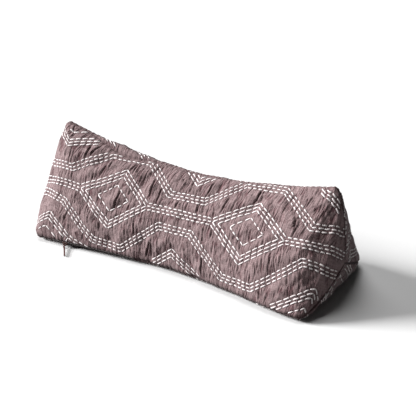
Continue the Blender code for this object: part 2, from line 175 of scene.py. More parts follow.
# The front's deepest folds, in millimetres: start and end, each along and across the cloth, and depth
FOLDS = (
    (-167.5, 46.5, -165.0, 74.7, 2.2), (-162.9, 53.9, -151.6, 81.9, 2.4), (-136.8, 35.8, -131.2, 63.8, 1.8),
    (-99.1, -7.7, -96.6, 23.4, 2.4), (-96.8, 52.1, -84.8, 69.0, 1.8), (-48.5, 24.2, -50.0, 50.9, 2.2),
    (-33.8, 16.7, -34.4, 38.4, 2.2), (-2.0, 16.9, -0.8, 26.3, 1.6), (32.7, 17.8, 31.2, 29.6, 1.6),
    (36.0, 41.6, 41.7, 65.5, 2.2), (10.3, 43.2, 9.4, 55.9, 1.8), (68.5, 26.3, 72.9, 50.5, 2.0),
    (110.6, 50.1, 115.8, 69.9, 1.8), (169.5, 45.4, 165.5, 56.7, 1.8), (181.3, 25.0, 172.1, 45.9, 2.0),
    (-35.4, -68.1, -30.7, -43.7, 2.2), (-25.6, -63.8, -28.2, -38.5, 2.0), (61.4, -69.0, 57.9, -43.0, 2.0),
    (6.6, -45.9, 4.8, -34.5, 2.0), (-114.0, -42.3, -116.5, -30.6, 1.8), (-56.7, -37.8, -60.6, -19.1, 2.2),
    (-52.6, 66.0, -49.0, 76.0, 2.6), (-199.7, 84.0, -205.0, 95.4, 2.4),
)

# Soft lumps where hulls press on the cover
FULLNESS_WAVES = 14
FULLNESS_HEIGHT = 0.000175  # of each wave
FULLNESS_SIZE = 0.028
FULLNESS_SPREAD = (0.7, 1.8)
FULLNESS_MARGIN = 0.02

# Cloth simulation: the cover is cut a little long, and is held at its seams and stitched lines
SIM_STEP = 2  # every second row and column of the cover's mesh
SIM_FRAMES = 20
SIM_SETTINGS = {
    "shrink_min": -0.015,  # the cloth is this share longer and wider than the filled shape
    "quality": 5, "mass": 0.15, "air_damping": 2.0,
    "tension_stiffness": 40.0, "compression_stiffness": 40.0, "shear_stiffness": 10.0,
    "bending_stiffness": 0.005, "use_pressure": True, "uniform_pressure_force": 2.0,
}
SIM_HOLD = 0.0030  # cloth this near to a stitched line is held
SIM_SEAM_HOLD = 0.006  # and this near to a seam
SIM_REST_HOLD = 0.001  # and this near to what the pillow lies on
SIM_LIMIT = 0.0040  # no point moves further than this

# Stitched pattern of the back and base panels, in cloth coordinates
PERIOD = 0.2260  # distance between the diamonds of a row
ROW_SPACING = 0.0985
DIAMOND = (0.0570, 0.0405)  # half diagonals of the middle line of the three
CHAIN_STEPS = (0.0265, 0.0290)  # where the chain between two rows bends, along
CHAIN_HEIGHTS = (0.0240, 0.0735)  # and across
PATTERN_AT = {BACK: (-0.1560, -0.1120), BASE: (0.020, -0.010)}  # place of one diamond on each panel
LINE_SPACING = 0.0048
INNER_SIZE = 0.46  # size of the single line inside a diamond, as a share of the diamond

# The front panel's pattern as the photograph shows it: corners of the middle lines, in millimetres of cloth
FRONT_ROWS = (
    # Diamonds of a row, each as its left, top, right and bottom corners
    (((-255, 93), (-198, 140), (-142, 94), (-198.3, 62.9)),
     ((-40, 103), (17, 146), (74, 103), (17.3, 60.7)),
     ((178, 112), (227, 154), (283, 111), (227, 63))),
    (((-162.8, 4.4), (-99.6, 49.2), (-48.7, 7.3), (-101.1, -30.5)),
     ((61.2, 9.7), (118.8, 46.7), (173.3, 7.9), (116.6, -32.7))),
    (((-250, -81), (-200.5, -53), (-165, -73), (-199, -140)),
     ((-49, -94), (7.7, -48.6), (65, -82), (8, -135)),
     ((171, -94), (227.8, -50.2), (257, -95), (228, -135))),
)
FRONT_ROW_ENDS = (((-330, 93), (330, 111)), ((-300, -8), (300, 8)), ((-330, -86), (330, -95)))
# The single lines inside the middle row's diamonds
FRONT_INNER = (((-131.1, 7.0), (-104.1, 29.8), (-79.3, 8.6), (-104.2, -10.4)),
               ((89.7, 9.0), (114.9, 28.2), (141.4, 9.0), (116.8, -11.5)))
FRONT_CHAINS = (
    ((-300, 17.6), (-183.0, 27.8), (-130.2, 74.2), (-66.8, 73.4), (-18.9, 32.7),
     (38.0, 35.1), (91.5, 75.0), (150.4, 77.8), (201.1, 32.5), (300, 40)),
    ((-300, -14), (-184.2, -23.9), (-122.4, -59.5), (-75.6, -62.8), (-20.4, -15.9),
     (32.3, -15.2), (94.1, -62.7), (143.3, -66.8), (207.1, -15.9), (300, -21)),
)

# Stitches. Each kind of line: distance from stitch to stitch, and length of a stitch as a share of it
SIDE = (0.0100, 0.90)  # the sides of the diamonds
LINE = (0.0080, 0.81)  # the lines between them, and the chains
INNER = (0.0100, 0.76)  # the single line inside a diamond
STITCH_WIDTH = 0.0020
STITCH_HEIGHT = 0.0012
STITCH_TIP_WIDTH = 0.60  # shares of the width and height at a stitch's ends
STITCH_TIP_HEIGHT = 0.55
STITCH_ARCH = 0.28  # how blunt the ends are
STITCH_SIZES = (0.88, 1.12)
STITCH_LIFT = 0.0005
STITCH_SINK = 0.0004
STITCH_RINGS = 7
STITCH_SIDES = 6
STITCH_JITTER = 0.00025
STITCH_GROOVE = 0.0007
STITCH_GROOVE_REACH = 0.0018
STITCH_HOLD = 0.75  # crinkles are this much lower on a stitched line
STITCH_HOLD_REACH = 0.0034
THREAD_OFFSET = 0.013  # from one stitch's place in the thread's material to the next one's
QUILT_HEIGHT = 0.0006  # how far the cloth puffs up away from the stitching
QUILT_REACH = 0.012
SEAM_MARGIN = 0.0015  # no stitch comes closer to a seam
TIP_ROWS = 2  # nor within these rows of the tips

# Zip
ZIP_START = -0.192
ZIP_END = -0.054
ZIP_PROUD = 0.0006
TAPE_HALF_WIDTH = 0.0020
TAPE_TOP = -0.0003
TAPE_STEPS = 70
# Corners of both tapes' section: place across as a share of the half width, and height over TAPE_TOP
TAPE_PROFILE = ((-1, -0.0006), (1, -0.0006), (1, 0), (0.55, 0.00025), (-0.55, 0.00025), (-1, 0))
TAPE_PROFILE_STEP = 0.001
TOOTH_PITCH = 0.0014
TOOTH_WIDTH = 0.0030
TOOTH_SIZE = 0.0011
TOOTH_LEAN = 0.00025
TOOTH_TAPER = 0.55
TOOTH_RINGS = 5
TOOTH_SIDES = 6
TOOTH_STEP = 0.0005

# Materials: sizes of features in metres, depths of relief, and stops of ramps, each a place and a colour
CLOTH_INPUTS = {"Sheen Weight": 0.15, "Sheen Roughness": 0.5, "Specular IOR Level": 0.2}
WARP_PITCH = 0.00090
WEFT_PITCH = 0.00100
SLUB_SIZE = (0.0140, 0.0011)
CROSS_SLUB_SIZE = (0.0012, 0.0150)
MOTTLE_SIZE = (0.0200, 0.0260)
FINE_SIZE = (0.0023, 0.0150)
CREASE_SIZES = ((0.0085, 0.060), (0.0050, 0.034))
CREASE_BREAKS = (0.012, 0.016)
CREASE_BREAK = (8.0, -4.0)  # noise times the first plus the second, above 0, ends a crease
CREASE_LINE = 0.040  # half width of the finest creases
CREASE_ROUND = 0.3
BAND_SCALE = 1 / 3.1831  # at which the bands of a wave are one unit apart
YARN_TONES = ((0.30, (0.120, 0.074, 0.078)), (0.70, (0.315, 0.236, 0.237)))
CROSS_YARN_TONES = ((0.30, (0.135, 0.086, 0.090)), (0.70, (0.300, 0.221, 0.222)))
MOTTLE_TONES = ((0.2, (0.84, 0.83, 0.83)), (0.8, (1.10, 1.10, 1.10)))
WEAVE_TONES = ((0.0, (0.86, 0.85, 0.85)), (0.7, (1.08, 1.08, 1.08)))
# Painted shade along the fine creases: the colour darkens on their lines
PAINTED_CREASE_SHADE_TONES = (((0.0, (0.55, 0.40, 0.43)), (1.0, (1.03, 1.03, 1.03))),
                ((0.0, (0.79, 0.69, 0.705)), (1.0, (1.03, 1.03, 1.03))))
# Painted shade: the cloth's colour goes from unchanged at no shade to this dark red at full shade
PAINTED_SHADE_TONES = ((0.0, (1.0, 1.0, 1.0)), (1.0, (0.15, 0.048, 0.056)))
CLOTH_DEPTHS = (0.0009, 0.0005, 0.0007, 0.00030, 0.00030, 0.00010)
THREAD_INPUTS = {"Sheen Weight": 0.2, "Specular IOR Level": 0.3}
THREAD_TWIST = math.radians(35)
STRAND_PITCH = 0.00055
FUZZ_SIZE = (0.0012, 0.0004)
THREAD_TONES = ((0.25, (0.66, 0.60, 0.60)), (0.7, (0.85, 0.795, 0.79)))
STRAND_TONES = ((0.0, (0.86, 0.84, 0.84)), (0.5, (1.0, 1.0, 1.0)))
THREAD_DEPTHS = (0.00012, 0.00010)
ZIP_PITCH = 0.0006
ZIP_WEAR_SIZE = (0.004, 0.002)
ZIP_TONES = ((0.3, (0.014, 0.008, 0.008)), (0.7, (0.034, 0.021, 0.020)))
ZIP_DEPTH = 0.00008
METAL_WEAR_SIZE = (0.0030, 0.0030, 0.0030)
METAL_SCRATCH_SIZE = (0.0006, 0.0080, 0.0012)
METAL_DEPTH = 0.00003
METALS = {  # material, dark and light tone, and roughness
    "zip_slider": ("slider_metal", (0.030, 0.015, 0.013), (0.090, 0.045, 0.038), 0.42),
    "zip_pull": ("pull_metal", (0.035, 0.012, 0.010), (0.085, 0.030, 0.024), 0.40),
}
FLOOR_TONES = ((0.0, (0.40, 0.40, 0.40)), (1.0, (0.72, 0.72, 0.72)))  # as it reflects, and as it shows
FLOOR_HALF = 30.0
FLOOR_HEIGHT = -0.0002
FILL_LIGHT = 0.03
BACKDROP_LIGHT = 0.74

# The photograph's camera
CAMERA_TARGET = Vector((0.0, 0.0, 0.06))
CAMERA_AZIMUTH = math.radians(31.8)
CAMERA_ELEVATION = math.radians(26.9)
CAMERA_DISTANCE = 1.533
FOCAL_PIXELS = 1050.0
PICTURE_PIXELS = 416.0
TARGET_PIXEL = (193.3, 215.3)
SENSOR_WIDTH = 36.0


def edge_soft(across):
    """Half width of the rounding over an end edge, wider in the middle of a panel than at its corners."""
    middle = np.sin(np.pi * np.clip(across, 0, 1)) ** EDGE_SOFT_POWER
    return CORNER_SOFT + (EDGE_SOFT - CORNER_SOFT) * middle


def edge_place(panel, across):
    """Distance from the middle of the pillow to the end edge of a panel."""
    return HALF_LENGTH + END_BOWS[panel] * np.sin(np.pi * across) ** 2


def crown(panel, across, along, far):
    """How far a panel bows out at a point."""
    height = WAIST_CROWN + (END_CROWN - WAIST_CROWN) * far ** HEIGHT_POWER
    height = height * 4 * across * (1 - across)
    rim = np.clip(across * (1 - across) * LUMP_RIM, 0, 1)
    for number, at_along, at_across, reach_along, reach_across, bulge in LUMPS:
        if number == panel:
            off = ((along - at_along) / reach_along) ** 2 + ((across - at_across) / reach_across) ** 2
            height = height + bulge * np.exp(-off) * rim
    return height


def sharp(panel, across, along):
    """Points of the cover before its edges are softened.

    across runs from 0 to 1 over the panel, and past that onto its neighbours. along is the distance from
    the middle of the pillow, running on over the end edge to the centre of the end.
    """
    turns = np.floor(across).astype(int)
    across = across - turns
    panels = (panel + turns) % 3
    edge = edge_place(panels, across)
    inward = 1 - np.clip((np.abs(along) - edge) / POINT_LENGTH, 0, 1)
    body = np.minimum(np.abs(along), edge)
    far = np.minimum(body / HALF_LENGTH, 1)
    width = WAIST_HALF_WIDTH + (END_HALF_WIDTH - WAIST_HALF_WIDTH) * far ** WIDTH_POWER
    width_bow = np.where(along < 0, LEFT_WIDTH_BOW, RIGHT_WIDTH_BOW)
    width = width + width_bow * np.sin(np.pi * far ** WIDTH_BOW_POWER)
    rise = WAIST_HEIGHT + (END_HEIGHT - WAIST_HEIGHT) * far ** HEIGHT_POWER - SEAM_HEIGHT
    slant = np.hypot(width, rise)
    rim = np.clip(2 * np.minimum(across, 1 - across) / RIM_SHARE, 0, 1)
    y = width * (1 - 2 * across)
    z = SEAM_HEIGHT * (1 - rim * (2 - rim))
    for side, sign, up in ((FRONT, -1, across), (BACK, 1, 1 - across)):
        bow = crown(side, across, along, far) * (1 + LOW_FULLNESS * (1 - 2 * up))
        y = np.where(panels == side, sign * (width * (1 - up) + bow * rise / slant), y)
        z = np.where(panels == side, SEAM_HEIGHT + rise * up + bow * width / slant, z)
    x = np.sign(along) * (body + (HALF_LENGTH + END_BULGE - edge) * (1 - inward ** 2))
    return np.stack([x, y * inward, END_CENTRE_HEIGHT + (z - END_CENTRE_HEIGHT) * inward], axis=-1)


def cover(panel, across, along):
    """Points of the cover: the mean of the sharp shape over a small window, which softens its edges.

    The top seam wanders a little in front of the ridge.
    """
    past = (np.abs(along) - edge_place(panel, np.clip(across, 0, 1))) / POINT_LENGTH
    reach = edge_soft(across) * (1 - np.clip(past, 0, 1))
    shift = WANDER * np.exp(-((along - WANDER_AT) / WANDER_REACH) ** 2)
    if panel == FRONT:
        across = np.where(across > 0, across * (1 - shift), across)
    if panel == BACK:
        across = np.where(across < 1, across * (1 + shift) - shift, across)
    steps = (np.arange(SOFT_SAMPLES) * 2 - (SOFT_SAMPLES - 1)) / SOFT_SAMPLES
    total = 0
    for i in steps:
        for j in steps:
            total = total + sharp(panel, across + i * SEAM_SOFT, along + j * reach)
    return total / SOFT_SAMPLES ** 2


def press(along, around):
    """Depth of the main creases. around is the number of the panel plus the share of its width."""
    depth = np.zeros_like(along)
    for panel, along_start, along_end, across_start, across_end, deepest, reach in CREASES:
        across = (around - panel + 1.5) % 3 - 1.5
        share = (across - across_start) / (across_end - across_start)
        off = (along - along_start - (along_end - along_start) * share) / reach
        depth += deepest * np.sin(np.pi * np.clip(share, 0, 1)) ** CREASE_TAPER * np.exp(-off * off)
    return depth


def unit(vectors):
    """The same directions, as vectors of length 1."""
    return vectors / np.maximum(np.linalg.norm(vectors, axis=-1, keepdims=True), 1e-12)


def normals_of(points):
    """Directions out of the cover at the points of a panel's grid."""
    return unit(np.cross(np.gradient(points, axis=0), np.gradient(points, axis=1)))


def at(field, row, column):
    """Values of a field at places between its rows and columns."""
    row = np.clip(row, 0, field.shape[0] - LAST_CELL)
    column = np.clip(column, 0, field.shape[1] - LAST_CELL)
    i, j = row.astype(int), column.astype(int)
    s, t = row - i, column - j
    if field.ndim == 3:
        s, t = s[..., None], t[..., None]
    low = field[i, j] * (1 - t) + field[i, j + 1] * t
    high = field[i + 1, j] * (1 - t) + field[i + 1, j + 1] * t
    return low * (1 - s) + high * s


class Panel:
    """One panel of the cover, as a grid of rows along it and columns across it."""

    def __init__(self, number):
        self.number = number
        steps = np.linspace(0, 1, COLUMNS[number] + 1)
        across = steps - SEAM_DENSITY * np.sin(TURN * steps) / TURN
        soft = edge_soft(across)
        edge = edge_place(number, across)
        rows = [(edge - soft) * i / BODY_ROWS for i in range(BODY_ROWS)]
        rows += [edge - soft + 2 * soft * i / EDGE_ROWS for i in range(EDGE_ROWS)]
        rows += [edge + soft + (POINT_LENGTH - soft) * i / POINT_ROWS for i in range(POINT_ROWS + 1)]
        right = np.array(rows)
        self.along = np.concatenate([-right[:0:-1], right])
        self.across = np.broadcast_to(across, self.along.shape)
        self.base = cover(number, self.across, self.along)
        inward = np.clip((np.abs(self.along) - HALF_LENGTH) / POINT_LENGTH, 0, 1)
        self.base += CENTRE_SHIFT * (inward * inward * (3 - 2 * inward))[..., None]
        self.normals = normals_of(self.base)
        self.measure()
        self.flatten_points()

    def measure(self):
        """Cloth coordinates: v by arc length from the middle of each row, u by the distance between rows."""
        rows, columns = self.along.shape
        aside = unit(np.gradient(self.base, axis=1))
        aside = (aside[1:] + aside[:-1]) / 2
        step = np.diff(self.base, axis=0)
        step_u = np.linalg.norm(step - (step * aside).sum(axis=2, keepdims=True) * aside, axis=2)
        step_v = np.linalg.norm(np.diff(self.base, axis=1), axis=2)
        u = np.pad(np.cumsum(step_u, axis=0), ((1, 0), (0, 0)))
        v = np.pad(np.cumsum(step_v, axis=1), ((0, 0), (1, 0)))
        self.width = v[:, -1:]
        self.seam = np.minimum(v, self.width - v)
        self.sign = -1 if self.number == BASE else 1
        self.u = u - u[rows // 2]
        self.v = self.sign * (v - v[:, columns // 2, None])

    def flatten_points(self):
        """Cloth coordinates of the pointed ends, as the cloth lies flat: columns run straight to the tip."""
        rows, columns = self.along.shape
        for side in (1, -1):
            fold = rows // 2 + side * (BODY_ROWS + EDGE_ROWS // 2)
            end = slice(fold, None, side)
            step = np.linalg.norm(np.diff(self.base[end], axis=0), axis=2)
            length = np.pad(np.cumsum(step, axis=0), ((1, 0), (0, 0)))
            share = length / length[-1]
            start_u, start_v = self.u[fold].copy(), self.v[fold].copy()
            tip = start_u[columns // 2] + side * length[-1, columns // 2]
            self.u[end] = start_u + (tip - start_u) * share
            self.v[end] = start_v * (1 - share)

    def find(self, u, v):
        """Rows and columns of places in cloth coordinates, and whether each lies on the panel."""
        rows, columns = self.along.shape
        row = rows / 2 + u / HALF_LENGTH * BODY_ROWS
        column = (0.5 + self.sign * v / self.width[rows // 2]) * (columns - 1)
        slope_u = np.gradient(self.u, axis=0)
        slope_v = np.gradient(self.v, axis=1)
        for _ in range(FIND_ROUNDS):
            row = row + (u - at(self.u, row, column)) / at(slope_u, row, column)
            row = np.clip(row, 1, rows - 2)
            column = column + (v - at(self.v, row, column)) / at(slope_v, row, column)
            column = np.clip(column, 0, columns - 1)
        off = np.hypot(u - at(self.u, row, column), v - at(self.v, row, column))
        return row, column, off < FIND_ERROR


def offset_line(corners, offset, closed=False):
    """Corners of the line that runs beside another, to its left, with mitred bends."""
    corners = np.array(corners, float)
    run = unit(np.roll(corners, -1, axis=0) - corners)
    after = np.stack([-run[:, 1], run[:, 0]], axis=1)
    before = np.roll(after, 1, axis=0)
    if not closed:
        before[0] = after[0]
        after[-1] = before[-1]
    mean = (before + after) / 2
    return list(corners + offset * mean / (mean * mean).sum(axis=1, keepdims=True))


def runs(corners, kind, closed=False):
    """Straight stretches between corners: start, stop, kind of line, and whether it stays clear of both."""
    stops = corners[1:] + (corners[:1] if closed else [])
    return [(start, stop, kind, False) for start, stop in zip(corners, stops)]


def row_lines(diamonds, ends, inner=None):
    """Stitched stretches of a row of triple diamonds, joined by triple lines."""
    lines = []
    for side, corner in ((1, 1), (-1, 3)):
        path = [ends[0], *(diamond[i] for diamond in diamonds for i in (0, corner, 2)), ends[1]]
        for i, stretch in enumerate(runs(offset_line(path, side * LINE_SPACING), SIDE)):
            lines.append(stretch if i % 3 else (*stretch[:2], LINE, True))
    stops = [ends[0], *(diamond[i] for diamond in diamonds for i in (0, 2)), ends[1]]
    lines += [(start, stop, LINE, True) for start, stop in zip(stops[::2], stops[1::2])]
    for i, diamond in enumerate(diamonds):
        for offset in (0.0, -LINE_SPACING):
            lines += runs(offset_line(diamond, offset, closed=True), SIDE, closed=True)
        middle = np.mean(diamond, axis=0)
        small = middle + (diamond - middle) * INNER_SIZE if inner is None else inner[i]
        lines += runs(list(small), INNER, closed=True)
    return lines


def chain_lines(corners):
    """Stitched stretches of a triple line that bends."""
    return [stretch for offset in (-LINE_SPACING, 0.0, LINE_SPACING)
            for stretch in runs(offset_line(corners, offset), LINE)]


def regular_lines(number):
    """The even pattern of the panels that the photograph doesn't show."""
    lines = []
    at_u, at_v = PATTERN_AT[number]
    (a, b), (low, high), (near, far) = DIAMOND, CHAIN_HEIGHTS, CHAIN_STEPS
    half = PERIOD / 2
    for row in range(-1, 3):
        y = at_v + row * ROW_SPACING
        centres = [at_u + (step + 0.5 * (row % 2)) * PERIOD for step in range(-2, 4)]
        diamonds = np.array([((x - a, y), (x, y + b), (x + a, y), (x, y - b)) for x in centres])
        lines += row_lines(diamonds, np.array(((centres[0] - half, y), (centres[-1] + half, y))))
        chain = []
        for x in centres:
            chain += [(x - half + near, y + low), (x - far, y + high), (x + far, y + high),
                      (x + half - near, y + low)]
        lines += chain_lines(chain)
    return lines


def front_lines():
    """The front panel's pattern, in metres of cloth."""
    lines = []
    for i, (diamonds, ends) in enumerate(zip(FRONT_ROWS, FRONT_ROW_ENDS)):
        inner = np.array(FRONT_INNER) / 1000 if i == 1 else None
        lines += row_lines(np.array(diamonds) / 1000, np.array(ends) / 1000, inner)
    for chain in FRONT_CHAINS:
        lines += chain_lines(np.array(chain) / 1000)
    return lines


def stitched_lines(number):
    """Straight stitched stretches on a panel."""
    return front_lines() if number == FRONT else regular_lines(number)


def stitch_ends(number):
    """Both ends of every stitch on a panel, in cloth coordinates."""
    rng = np.random.default_rng(SEED + number)
    ends = []
    for start, stop, (pitch, stitch), clear in stitched_lines(number):
        length = np.linalg.norm(stop - start)
        run = (stop - start) / length
        gap = pitch * (1 - stitch)
        if clear:
            start = start + run * gap
            length -= 2 * gap
        count = max(1, round((length + gap) / pitch))
        step = (length + gap) / count
        for i in range(count):
            first = start + run * step * i
            last = first + run * step * stitch
            ends.append((first + rng.normal(0, STITCH_JITTER, 2), last + rng.normal(0, STITCH_JITTER, 2)))
    return np.array(ends)


def distance_to_lines(u, v, number):
    """Distance of each place on a panel to the nearest stitched line."""
    nearest = np.full(u.shape, 1.0)
    for start, stop, _, _ in stitched_lines(number):
        run = stop - start
        share = np.clip(((u - start[0]) * run[0] + (v - start[1]) * run[1]) / (run @ run), 0, 1)
        away = np.hypot(u - start[0] - run[0] * share, v - start[1] - run[1] * share)
        nearest = np.minimum(nearest, away)
    return nearest


def smooth_noise(x, y, rng):
    """Smooth seeded noise between about -1 and 1, with features of size 1."""
    angles = rng.uniform(0, TURN, (NOISE_TABLE, NOISE_TABLE))
    i, j = np.floor(x).astype(int), np.floor(y).astype(int)
    s, t = x - i, y - j
    corner = []
    for a, b in ((0, 0), (0, 1), (1, 0), (1, 1)):
        angle = angles[(i + a) % NOISE_TABLE, (j + b) % NOISE_TABLE]
        corner.append(np.cos(angle) * (s - a) + np.sin(angle) * (t - b))
    s, t = (w * w * w * (w * (w * 6 - 15) + 10) for w in (s, t))
    low = corner[0] * (1 - t) + corner[1] * t
    high = corner[2] * (1 - t) + corner[3] * t
    return (low * (1 - s) + high * s) * NOISE_GAIN


def end_fade(panel):
    """Share of the crinkles that is left towards the ends."""
    left = (HALF_LENGTH + CRINKLE_OVERRUN - np.abs(panel.u)) / (HALF_LENGTH - CRINKLE_END)
    return np.clip(left, CRINKLE_LEAST, 1)


def puff_height(panel):
    """Height of the small rounded puffs at every point of a panel's grid."""
    rng = np.random.default_rng(SEED + 10 + panel.number)
    u, v = panel.u, panel.v
    slant = v * (LEAN[0] + v * (LEAN[1] + v * LEAN[2]))
    wide, tall = PUFF_DRIFT_SIZES
    height = np.zeros_like(u)
    for size_u, size_v, puff in PUFFS:
        drift = smooth_noise(u / (wide * size_u), v / (tall * size_v), rng)
        drift = drift * PUFF_DRIFT * size_u / PUFFS[0][0]
        noise = smooth_noise((u - slant + drift) / size_u, v / size_v, rng)
        strength = 1 - PUFF_PATCHINESS + PUFF_PATCHINESS * smooth_noise(u / PUFF_PATCH, v / PUFF_PATCH, rng)
        height += puff * strength * (np.sqrt(noise * noise + PUFF_EDGE ** 2) - PUFF_MEAN)
    return height * end_fade(panel)


def fold_height(panel):
    """Height and painted shade of the narrow folds: the photograph's deepest, and seeded smaller ones
    between.
    """
    rng = np.random.default_rng(SEED + 15 + panel.number)
    half_width = panel.width.max() / 2
    fade = end_fade(panel)
    folds = []
    for _ in range(FOLDS_PER_PANEL[panel.number]):
        at_u = rng.uniform(-HALF_LENGTH, HALF_LENGTH)
        at_v = rng.uniform(-half_width, half_width)
        lean = LEAN[0] + at_v * (2 * LEAN[1] + at_v * 3 * LEAN[2]) + rng.normal(0, FOLD_LEAN_SPREAD)
        folds.append((at_u, at_v, rng.uniform(*FOLD_LENGTHS), lean, rng.normal(0, FOLD_CURVE),
                      rng.uniform(*FOLD_DEPTHS), rng.uniform(*FOLD_REACHES), fade))
    for fold in FOLDS if panel.number == FRONT else ():
        start_u, start_v, end_u, end_v, depth = np.array(fold) / 1000
        half = (end_v - start_v) / 2
        folds.append(((start_u + end_u) / 2, (start_v + end_v) / 2, half * FOLD_OVERRUN,
                      (end_u - start_u) / (2 * half), 0.0, depth, DEEP_FOLD_REACH, np.ones_like(fade)))
    height = np.zeros_like(fade)
    shade = np.zeros_like(fade)
    for at_u, at_v, half, lean, curve, depth, reach, left in folds:
        up = panel.v - at_v
        off = (panel.u - at_u - lean * up - curve * up ** 2) / reach
        near = (np.abs(up) < half) & (np.abs(off) < FOLD_WINDOW)
        s, o = up[near] / half, off[near]
        ridges = sum(np.exp(-((o + place) / FOLD_RIDGE_WIDTH) ** 2) for place in FOLD_RIDGES_AT)
        shape = (1 - s * s) ** FOLD_TAPER * (np.exp(-o * o) - FOLD_RIDGE * ridges)
        height[near] -= depth * shape * left[near]
        # painted shade: darkens the cloth's colour in the valley of each fold
        dark = (1 - s * s) * np.exp(-FOLD_SHADE_FALL * o * o) * left[near] * depth / FOLD_FULL_SHADE
        shade[near] = np.maximum(shade[near], dark)
    return height, np.minimum(shade, 1)


def fullness(panel):
    """Soft low lumps, from a few seeded waves."""
    rng = np.random.default_rng(SEED + 20 + panel.number)
    height = np.zeros_like(panel.u)
    for _ in range(FULLNESS_WAVES):
        angle = rng.uniform(0, np.pi)
        turn = TURN / (FULLNESS_SIZE * rng.uniform(*FULLNESS_SPREAD))
        phase = rng.uniform(0, TURN)
        height += np.sin((panel.u * np.cos(angle) + panel.v * np.sin(angle)) * turn + phase)
    return height * FULLNESS_HEIGHT


def sewn(grids):
    """One closed mesh of three grids, sewn along their edges and drawn to a point at each end.

    Its points, its faces, each face corner's grid, row and column, and which point each place of a grid is.
    """
    rows = grids[0].shape[0]
    points = np.concatenate([grid[1:-1, :-1] for grid in grids], axis=1)
    index = np.arange(points.shape[0] * points.shape[1]).reshape(points.shape[:2])
    index = np.pad(np.hstack([index, index[:, :1]]), ((1, 1), (0, 0)), constant_values=index.size)
    index[-1] += 1
    points = np.concatenate([points.reshape(-1, points.shape[2]), grids[0][:1, 0], grids[0][-1:, 0]])
    starts = np.cumsum([0] + [grid.shape[1] - 1 for grid in grids])
    indices = [index[:, first:last + 1] for first, last in zip(starts, starts[1:])]
    faces, places = [], []
    for number, own in enumerate(indices):
        names = own.tolist()
        for j in range(own.shape[1] - 1):
            for i in range(rows - 1):
                corners = [(i, j), (i + 1, j), (i + 1, j + 1), (i, j + 1)]
                if i == 0:
                    corners = corners[1:]
                if i == rows - 2:
                    corners = [corners[0], corners[1], corners[3]]
                faces.append([names[row][column] for row, column in corners])
                places += [(number, row, column) for row, column in corners]
    return points, faces, np.array(places), indices


def new_object(name, data):
    """An object in the scene that shows a mesh, a light or a camera."""
    made = bpy.data.objects.new(name, data)
    bpy.context.scene.collection.objects.link(made)
    return made


def new_mesh(name, points, faces):
    """A mesh of an array of points, and of faces by their numbers."""
    mesh = bpy.data.meshes.new(name)
    mesh.from_pydata(np.asarray(points).tolist(), [], faces)
    return mesh


def simulate(panels):
    """Let the cloth buckle between its stitched lines, and return how far each panel's points move out."""
    step = SIM_STEP
    start, hold = [], []
    for panel in panels:
        start.append((panel.base + panel.normals * panel.puffs[..., None])[::step, ::step])
        held = (panel.seam < SIM_SEAM_HOLD) | (panel.away < SIM_HOLD) | (np.abs(panel.u) > HALF_LENGTH)
        if panel.number == BASE:
            held |= panel.base[..., 2] < SIM_REST_HOLD
        hold.append(held[::step, ::step, None])
    points, faces, _, indices = sewn(start)
    mesh = new_mesh("sheet", points, faces)
    piece = new_object("sheet", mesh)
    group = piece.vertex_groups.new(name="held")
    group.add(np.flatnonzero(sewn(hold)[0]).tolist(), 1.0, "REPLACE")
    cloth = piece.modifiers.new("cloth", "CLOTH")
    cloth.settings.vertex_group_mass = "held"
    for name, value in SIM_SETTINGS.items():
        setattr(cloth.settings, name, value)
    cloth.settings.effector_weights.gravity = 0.0
    cloth.collision_settings.use_collision = False
    cloth.point_cache.frame_start = 1
    cloth.point_cache.frame_end = SIM_FRAMES
    scene = bpy.context.scene
    for number in range(1, SIM_FRAMES + 1):
        scene.frame_set(number)
    made = piece.evaluated_get(bpy.context.evaluated_depsgraph_get())
    moved = np.empty(len(points) * 3, np.float32)
    made.to_mesh().vertices.foreach_get("co", moved)
    made.to_mesh_clear()
    scene.frame_set(1)
    bpy.data.objects.remove(piece)
    bpy.data.meshes.remove(mesh)
    change = moved.reshape(-1, 3) - points
    result = []
    for panel, index in zip(panels, indices):
        out = (change[index] * panel.normals[::step, ::step]).sum(axis=2)
        row, column = np.indices(panel.along.shape) / step
        result.append(np.clip(between(out, row, column), -SIM_LIMIT, SIM_LIMIT))
    return result


def between(field, row, column):
    """Values of a grid at places between its points, on smooth curves through them."""
    def weights(t):
        return ((-t + 2 * t ** 2 - t ** 3) / 2, (2 - 5 * t ** 2 + 3 * t ** 3) / 2,
                (t + 4 * t ** 2 - 3 * t ** 3) / 2, (-t ** 2 + t ** 3) / 2)
    rows, columns = field.shape
    i, j = np.floor(row).astype(int), np.floor(column).astype(int)
    down, aside = weights(row - i), weights(column - j)
    total = 0
    for a in range(4):
        for b in range(4):
            near = field[np.clip(i + a - 1, 0, rows - 1), np.clip(j + b - 1, 0, columns - 1)]
            total = total + near * down[a] * aside[b]
    return total


